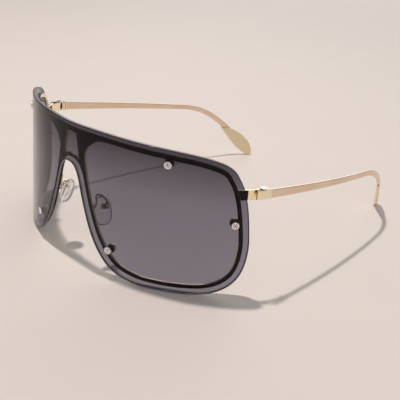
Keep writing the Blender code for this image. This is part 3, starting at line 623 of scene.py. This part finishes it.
def rim_line(share):
    """Points along the rim's bar: share 0 is its outer edge and 1 its inner edge."""
    knots = lens_knots()
    low = inset(knots, INSET_LOW + share * RIM_BAR)
    high = inset(knots, INSET_HIGH + share * RIM_BAR)
    slim = inset(knots, ARCH_INSET + share * ARCH_BAR)
    start, end = ARCH_BLEND
    line = []
    for (x, y), spot_low, spot_high, spot_slim in zip(knots, low, high, slim):
        wide = Vector(spot_low).lerp(Vector(spot_high), y / LENS_HEIGHT)
        blend = 1.0 if y > ARCH_TOP else min(max((abs(x) - start) / (end - start), 0.0), 1.0)
        line.append(tuple(Vector(spot_slim).lerp(wide, blend)))
    return line


def lobe_window(side):
    """The opening of one lobe of the rim, up the column beside the nose window and over."""
    inner = rim_line(1.0)
    column = [(HALF_ARC * a, LENS_HEIGHT * h) for a, h in COLUMN_SHARES]
    lobe = [(x, y) for x, y in inner
            if x > COLUMN_JOIN or (x > column[0][0] and y < COLUMN_FOOT)]
    column.append((COLUMN_JOIN, crossings(inner, 0, COLUMN_JOIN)[-1]))
    return [(side * x, y) for x, y in smooth_loop(lobe + column)]


def nose_window():
    """The small window over the nose."""
    inner = rim_line(1.0)
    top = crossings(inner, 0, WINDOW_TOP)[-1]
    arch = smooth_loop(inner, COARSE_STEPS)
    foot = crossings(arch, 0, WINDOW_FOOT)[0]
    middle = crossings(arch, 0, WINDOW_FOOT / 2)[0]
    crown = crossings(inner, 0, 0.0)[0]
    return [(-WINDOW_TOP, top), (WINDOW_TOP, top), (WINDOW_FOOT, foot), (WINDOW_FOOT / 2, middle),
            (0.0, crown), (-WINDOW_FOOT / 2, middle), (-WINDOW_FOOT, foot)]


def screw_places():
    """Name, place round the lens and height of each of the six screws."""
    return [(name + "_" + side, sign * HALF_ARC * a, LENS_HEIGHT * h)
            for name, (a, h) in SCREW_SHARES.items() for side, sign in SIDES.items()]


def on_lens(arc, height, depth):
    """A point of the lens pattern, at a depth behind the front face."""
    turn, radius = arc / BEND_RADIUS, BEND_RADIUS - depth
    return Vector((radius * sin(turn), LENS_APEX_Y + BEND_RADIUS - radius * cos(turn),
                   height + LENS_FOOT_Z))


def arc_of(spot):
    """How far round the lens a point lies."""
    return BEND_RADIUS * atan2(spot.x, LENS_APEX_Y + BEND_RADIUS - spot.y)


def beside(loop, spot, reach):
    """Whether a point of the bent sheet lies close to a flat outline's points."""
    arc, height = arc_of(spot), spot.z - LENS_FOOT_Z
    return any(abs(x - arc) < reach and abs(y - height) < reach for x, y in loop)


def facing(spot, normal):
    """How squarely a face looks out of the lens's cylinder: 1 is outwards and -1 inwards."""
    turn = arc_of(spot) / BEND_RADIUS
    return normal.dot(Vector((sin(turn), -cos(turn), 0.0)))


# Front

def make_lens():
    """The smoke sheet, cut to its outline with holes for the screws and bent."""
    loops = [smooth_loop(lens_knots())]
    hole = SHANK_RADIUS + HOLE_GAP
    turns = [2 * pi * k / HOLE_SIDES for k in range(HOLE_SIDES)]
    for _, arc, height in screw_places():
        loops.append([(arc + hole * cos(turn), height + hole * sin(turn)) for turn in turns])
    lens = flat_sheet("shield_lens", loops, LENS_THICKNESS, LENS_EDGE)
    bent_round(lens, LENS_THICKNESS / 2)
    smooth(lens, SHEET_SHARP)
    dressed(lens, "front", "smoke_lens", smoke, "lens")
    extra_finish(lens, smoke_edge, lambda spot, normal: abs(facing(spot, normal)) < ROUNDED_EDGE)
    extra_finish(lens, ground_edge, lambda spot, normal: abs(facing(spot, normal)) < SAWN_SIDE)


def make_rim():
    """The gold rim, near-black in front and round its outer side as a painted dark reflection,
    and plain gold inside and behind.
    """
    marks = smooth_loop(rim_line(0.0), MARK_STEPS)
    loops = [smooth_loop(rim_line(0.0)), lobe_window(1), lobe_window(-1), nose_window()]
    rim = flat_sheet("metal_rim", loops, RIM_DEPTH, RIM_EDGE, fineness=1)
    middle, half = smooth_loop(rim_line(0.5)), RIM_DEPTH / 2 + LUG_PROUD
    for _, arc, height in screw_places():
        way = nearest_on(middle, (arc, height)) - Vector((arc, height))
        turn = Matrix.Rotation(atan2(way.y, way.x), 4, "Z")
        spot = Matrix.Translation((arc, height, 0.0)) @ turn
        lug = round_edges(rod("lug", LUG_RADIUS, -half, half, spot, LUG_SIDES), RIM_EDGE)
        neck = block("neck", (0.0, -LUG_NECK / 2, -half + GAP / 2),
                     (way.length, LUG_NECK / 2, half - GAP / 2), spot)
        join_or_cut(rim, round_edges(neck, RIM_EDGE), "UNION")
        join_or_cut(rim, lug, "UNION")
        bore = rod("bore", SHANK_RADIUS + TURN_GAP, -half - OVER, half + OVER, spot, HOLE_SIDES)
        join_or_cut(rim, bore, "DIFFERENCE")
    bent_round(rim, RIM_FRONT + RIM_DEPTH / 2)
    smooth(rim, SHEET_SHARP)
    dressed(rim, "front", "pale_gold", gold, "lens_frame")
    # Painted dark reflection on the front faces and along the outer edge
    extra_finish(rim, painted_dark_reflection, lambda spot, normal: facing(spot, normal) > LOOKS_OUT or (
        facing(spot, normal) > -LOOKS_OUT and beside(marks, spot, PAINTED_REFLECTION_REACH)))


def make_straps():
    """The short straps that come out from the rim past the lens's edge to the hinges."""
    outer = smooth_loop(rim_line(0.0), COARSE_STEPS)
    low = HINGE.z - LENS_FOOT_Z + STRAP_RISE - STRAP_HEIGHT / 2
    high = low + STRAP_HEIGHT
    rim_side = []
    for k in range(STRAP_STEPS + 1):
        height = high + (low - high) * k / STRAP_STEPS
        rim_side.append((crossings(outer, 1, height)[-1] + GAP, height))
    strap = flat_sheet("strap", [rim_side + [(STRAP_ARC, low), (STRAP_ARC, high)]], RIM_DEPTH,
                       RIM_EDGE, fineness=1)
    bent_round(strap, RIM_FRONT + RIM_DEPTH / 2, STRIP / 2)
    pair = dressed_pair(strap, "strap", ON_FRONT, "pale_gold", bright_gold, "endpiece",
                        SHEET_SHARP)
    # Painted dark reflection on the straps' front faces, as far as it ends
    for shape in pair.values():
        extra_finish(shape, painted_dark_reflection, lambda spot, normal: facing(spot, normal) > LOOKS_OUT
                     and abs(arc_of(spot)) < PAINTED_REFLECTION_END)


def make_lens_screws():
    """Domed screws with a dimple, a groove and a raised lip, and the washers they pass."""
    tail = -(RIM_BACK + LUG_PROUD + GAP + NUT_DEPTH + SCREW_END)
    head = []
    for radius, depth, profile in ((DIMPLE_RADIUS, DIMPLE_DEPTH, DIMPLE_PROFILE),
                                   (DOME_RADIUS, GROOVE, DOME_PROFILE),
                                   (HEAD_RADIUS, GROOVE, LIP_PROFILE)):
        head += [(radius * across, HEAD_HEIGHT - depth * down) for across, down in profile]
    screw = turned("lens_screw", head + [
        (HEAD_RADIUS, HEAD_HEIGHT / 2), (HEAD_RADIUS, SEAT + GAP / 2),
        (HEAD_RADIUS - GAP / 2, SEAT), (SHANK_RADIUS, SEAT), (SHANK_RADIUS, tail + GAP),
        (SHANK_RADIUS - GAP, tail), (0.0, tail)])
    # Faces of the dimple and the groove, which take the painted shade
    dark = {face.index for face in screw.data.polygons if face.center.z > 0 and (
        hypot(*face.center.xy) < DIMPLE_RADIUS
        or DOME_RADIUS < hypot(*face.center.xy) < DOME_RADIUS * GROOVE_END)}
    top, low, edge = -LENS_THICKNESS - GAP, -RIM_FRONT + LUG_PROUD + GAP, GAP / 2
    hole = SHANK_RADIUS + TURN_GAP
    washer = turned("lens_washer", [
        (hole, top), (WASHER_RADIUS - edge, top), (WASHER_RADIUS, top - edge),
        (WASHER_RADIUS, low + edge), (WASHER_RADIUS - edge, low), (hole, low), (hole, top)])
    for name, arc, height in screw_places():
        spot = (Matrix.Translation(on_lens(arc, height, 0.0))
                @ Matrix.Rotation(arc / BEND_RADIUS, 4, "Z") @ Matrix.Rotation(pi / 2, 4, "X"))
        for shape, slot, material in ((screw, "silver_screw", silver),
                                      (washer, "clear_silicone", silicone)):
            piece = place(copy_of(shape, shape.name + "_turned_" + name), spot)
            dressed(smooth(piece), "front", slot, material, shape.name + "_" + name)
            if shape is screw:
                piece.data.materials.append(painted_shade)
                for index in dark:
                    piece.data.polygons[index].material_index = 1
    for shape in (screw, washer):
        bpy.data.objects.remove(shape, do_unlink=True)


# Hinges and temples

def arc_path(spans, distance, heading=0.0):
    """Follows (length, turn) spans for a distance, the last one as far as it takes."""
    along = across = 0.0
    for k, (length, turn) in enumerate(spans):
        step = distance if k == len(spans) - 1 else min(max(distance, 0.0), length)
        share = step / length
        middle = heading + turn * share / 2
        chord = step if turn == 0 else 2 * (length / turn) * sin(turn * share / 2)
        along += chord * cos(middle)
        across += chord * sin(middle)
        heading += turn * share
        distance -= step
        if distance <= 0:
            break
    return along, across, heading


def side_point(distance, rise):
    """A point of the flat temple, so far along its centre line and so far above it."""
    along, height, heading = arc_path(SIDE_SPANS, distance, -SLOPE)
    return along - rise * sin(heading), height + rise * cos(heading)


def bar_half(distance):
    """Half the bar's height: it tapers to a waist at the ear bend and grows again."""
    ahead, behind = max(BAR_RUN - distance, 0.0), max(distance - BAR_RUN, 0.0)
    return (WAIST_HEIGHT + (ROOT_HEIGHT - WAIST_HEIGHT) * ahead / BAR_RUN
            + (END_HEIGHT - WAIST_HEIGHT) * behind / BAR_TAIL) / 2


def bowed(piece):
    """Bends a flat temple piece inwards in plan and carries it to its hinge."""
    cut_in_strips(piece, TEMPLE_STRIP)
    for v in piece.data.vertices:
        forward, inward, heading = arc_path(PLAN_SPANS, v.co.x)
        v.co = HINGE + Vector((BAR_OFFSET - inward + v.co.z * cos(heading),
                               forward + v.co.z * sin(heading), v.co.y))
    return edit(piece, (bpy.ops.mesh.normals_make_consistent, {"inside": False}))


def joint_place():
    """Where the bar ends and the tip starts, in the flat temple."""
    along, height, heading = arc_path(SIDE_SPANS, BAR_LENGTH, -SLOPE)
    return Matrix.Translation((along, height, 0.0)) @ Matrix.Rotation(heading, 4, "Z")


def make_bars():
    """Flat tapering bars with the ear bend, and the tongues that the tips slide over."""
    root_rise, root_half = -BAR_START * sin(SLOPE) / cos(SLOPE), bar_half(BAR_START) / cos(SLOPE)
    edges = []
    for side in (1, -1):
        end = BAR_LENGTH + side * SLANT
        marks = [BAR_RUN + (end - BAR_RUN) * k / BAR_STEPS for k in range(BAR_STEPS + 1)]
        edges.append([(BAR_START, root_rise + side * root_half)]
                     + [side_point(d, side * bar_half(d)) for d in [BAR_RUN / 2] + marks])
    upper, lower = edges
    bar = flat_sheet("bar", [upper + lower[::-1]], BAR_THICKNESS, BAR_EDGE)
    length, height, thickness = TONGUE
    tongue = block("tongue", (-END_HEIGHT / 2, -height / 2, -thickness / 2),
                   (length, height / 2, thickness / 2), joint_place())
    join_or_cut(bar, round_edges(tongue, GAP), "UNION")
    dressed_pair(bowed(bar), "bar", ON_TEMPLES, "pale_gold", satin_gold, "temple_bar",
                 SHEET_SHARP)


def make_tips():
    """Flat leaves that widen from the bar and close round, with a pocket for the tongue."""
    stations = []
    for k in range(TIP_STEPS):
        widening = (TIP_WIDTH - TIP_NECK) * sin(pi / 2 * k / TIP_STEPS)
        stations.append((TIP_WIDEST * k / TIP_STEPS, (TIP_NECK + widening) / 2))
    for k in range(TIP_STEPS + 1):
        turn = pi / 2 * k / TIP_STEPS
        stations.append((TIP_WIDEST + (1 - TIP_WIDEST) * sin(turn), TIP_WIDTH / 2 * cos(turn)))
    end_half = bar_half(BAR_LENGTH)
    gap, slant = GAP / sin(atan(end_half / SLANT)), SLANT * TIP_NECK / 2 / end_half
    edges = []
    for side in (1, -1):
        start = BAR_LENGTH + gap + side * slant
        edges.append([side_point(start + (BAR_LENGTH + TIP_LENGTH - start) * share, side * half)
                      for share, half in stations])
    upper, lower = edges
    tip = flat_sheet("tip", [upper + lower[-2::-1]], TIP_THICKNESS, TIP_EDGE, fineness=3)
    length, height, thickness = TONGUE
    pocket = block("pocket", (-SLANT - OVER, -height / 2 - GAP, -thickness / 2 - GAP),
                   (length + GAP, height / 2 + GAP, thickness / 2 + GAP), joint_place())
    join_or_cut(tip, pocket, "DIFFERENCE")
    dressed_pair(bowed(tip), "tip", ON_TEMPLES, "tip_tan", tan_tip, "temple_tip", SHEET_SHARP)


def make_hinge_pins():
    """Slotted screws down through the hinges' knuckles."""
    top = STACK_HEIGHT / 2 + SEAT
    crown = top + PIN_HEAD_HEIGHT
    rounding = [(PIN_HEAD - PIN_EDGE * across, crown - PIN_EDGE * down)
                for across, down in PIN_PROFILE]
    pin = turned("hinge_pin", [(0.0, crown)] + rounding + [
        (PIN_HEAD, top), (PIN_RADIUS, top), (PIN_RADIUS, -STACK_HEIGHT / 2 + GAP / 2),
        (PIN_RADIUS - GAP / 2, -STACK_HEIGHT / 2), (0.0, -STACK_HEIGHT / 2)])
    reach = PIN_HEAD + OVER
    slot = block("slot", (-reach, -SLOT_WIDTH / 2, crown - SLOT_DEPTH),
                 (reach, SLOT_WIDTH / 2, crown + OVER))
    join_or_cut(pin, slot, "DIFFERENCE")
    place(pin, Matrix.Translation(HINGE))
    dressed_pair(pin, "hinge_pin", ON_FRONT, "silver_screw", silver, "hinge_screw")


# Fittings

def on_barrel(spot, normal):
    """Whether a face of a hinge is on the round side of its barrel."""
    out = hypot(abs(spot.x) - HINGE.x, spot.y - HINGE.y)
    return abs(normal.z) < BARREL_SIDE and out < PIN_HEAD


def make_fittings():
    """Small pieces that keep the shape of their solids, with edges rounded where it shows."""
    fittings = (
        ("front_hinge", "front", "pale_gold", bright_gold, FINE_EDGE),
        ("lens_nut", "front", "silver_screw", silver, FITTING_EDGE),
        ("nose_pad", "pad", "clear_silicone", silicone, 0.0),
        ("pad_arm", "front", "pale_gold", gold, 0.0),
        ("pad_box", "front", "pale_gold", bright_gold, FINE_EDGE),
        ("pad_screw", "front", "silver_screw", silver, FINE_EDGE),
        ("temple_block", "temple", "pale_gold", bright_gold, FITTING_EDGE),
        ("temple_collar", "temple", "pale_gold", bright_gold, FITTING_EDGE),
        ("temple_hinge", "temple", "pale_gold", bright_gold, FITTING_EDGE),
    )
    for kind, part, slot, material, width in fittings:
        for node in sorted(name for name in frame["nodes"] if name.startswith(kind)):
            body = part if part == "front" else part + "_" + node.rsplit("_", 1)[-1]
            piece = welded_copy(node, node + "_finish")
            if width:
                round_edges(piece, width, FITTING_ANGLE)
                edit(piece, (bpy.ops.mesh.remove_doubles, {"threshold": FINE_WELD}))
            dressed(smooth(piece), body, slot, material, node)
            # Painted shade on the round sides of the hinge barrels
            if "hinge" in kind:
                extra_finish(piece, painted_shade_gold, on_barrel)


# Stage

def make_stage():
    """The pale painted table top."""
    bpy.ops.object.select_all(action="DESELECT")
    bpy.ops.mesh.primitive_plane_add(size=TABLE_SIDE, location=(0.0, 0.0, TABLE_Z))
    table = place(bpy.context.object, Matrix.Identity(4))
    table.name = "table_top"
    paint = principled("table_paint", (0.77, 0.685, 0.64), 0.7)
    patchy(paint, 30.0, (0.765, 0.681, 0.636), (0.775, 0.689, 0.644))
    table.data.materials.append(paint)


def add_lamp(name, spot, size, power, colour):
    """A square lamp that points at the middle of the glasses."""
    lamp = bpy.data.lights.new(name, "AREA")
    lamp.shape = "SQUARE"
    lamp.size = size
    lamp.energy = power
    lamp.color = colour
    holder = bpy.data.objects.new(name, lamp)
    bpy.context.scene.collection.objects.link(holder)
    holder.location = spot
    way = Vector(LIGHT_AIM) - Vector(spot)
    holder.rotation_euler = way.to_track_quat("-Z", "Y").to_euler()


def make_light():
    """Even room light and three lamps."""
    world = bpy.data.worlds.new("studio")
    bpy.context.scene.world = world
    world.use_nodes = True
    background = world.node_tree.nodes["Background"]
    background.inputs["Color"].default_value = (*ROOM_COLOUR, 1.0)
    background.inputs["Strength"].default_value = ROOM_STRENGTH
    for lamp in LAMPS:
        add_lamp(*lamp)


def make_camera():
    """The camera at the photograph's viewing angle, with its axes made square."""
    right = Vector(CAMERA_RIGHT).normalized()
    down = Vector(CAMERA_DOWN)
    down = (down - right * down.dot(right)).normalized()
    forward = right.cross(down)
    turn = Matrix((right, -down, -forward)).transposed()
    settings = bpy.data.cameras.new("photo_camera")
    settings.sensor_width = SENSOR
    settings.lens = SENSOR * FOCAL_PIXELS / PHOTO_SIDE
    settings.clip_start = CLIP_NEAR
    settings.clip_end = CLIP_FAR
    camera = bpy.data.objects.new("photo_camera", settings)
    bpy.context.scene.collection.objects.link(camera)
    camera.matrix_world = Matrix.Translation(CAMERA_PLACE) @ turn.to_4x4()
    bpy.context.scene.camera = camera


def main():
    """Makes the camera, every piece, the stage and the light."""
    make_camera()
    make_lens()
    make_rim()
    make_straps()
    make_lens_screws()
    make_hinge_pins()
    make_bars()
    make_tips()
    make_fittings()
    make_stage()
    make_light()
    bpy.context.scene.view_settings.view_transform = "Standard"


main()
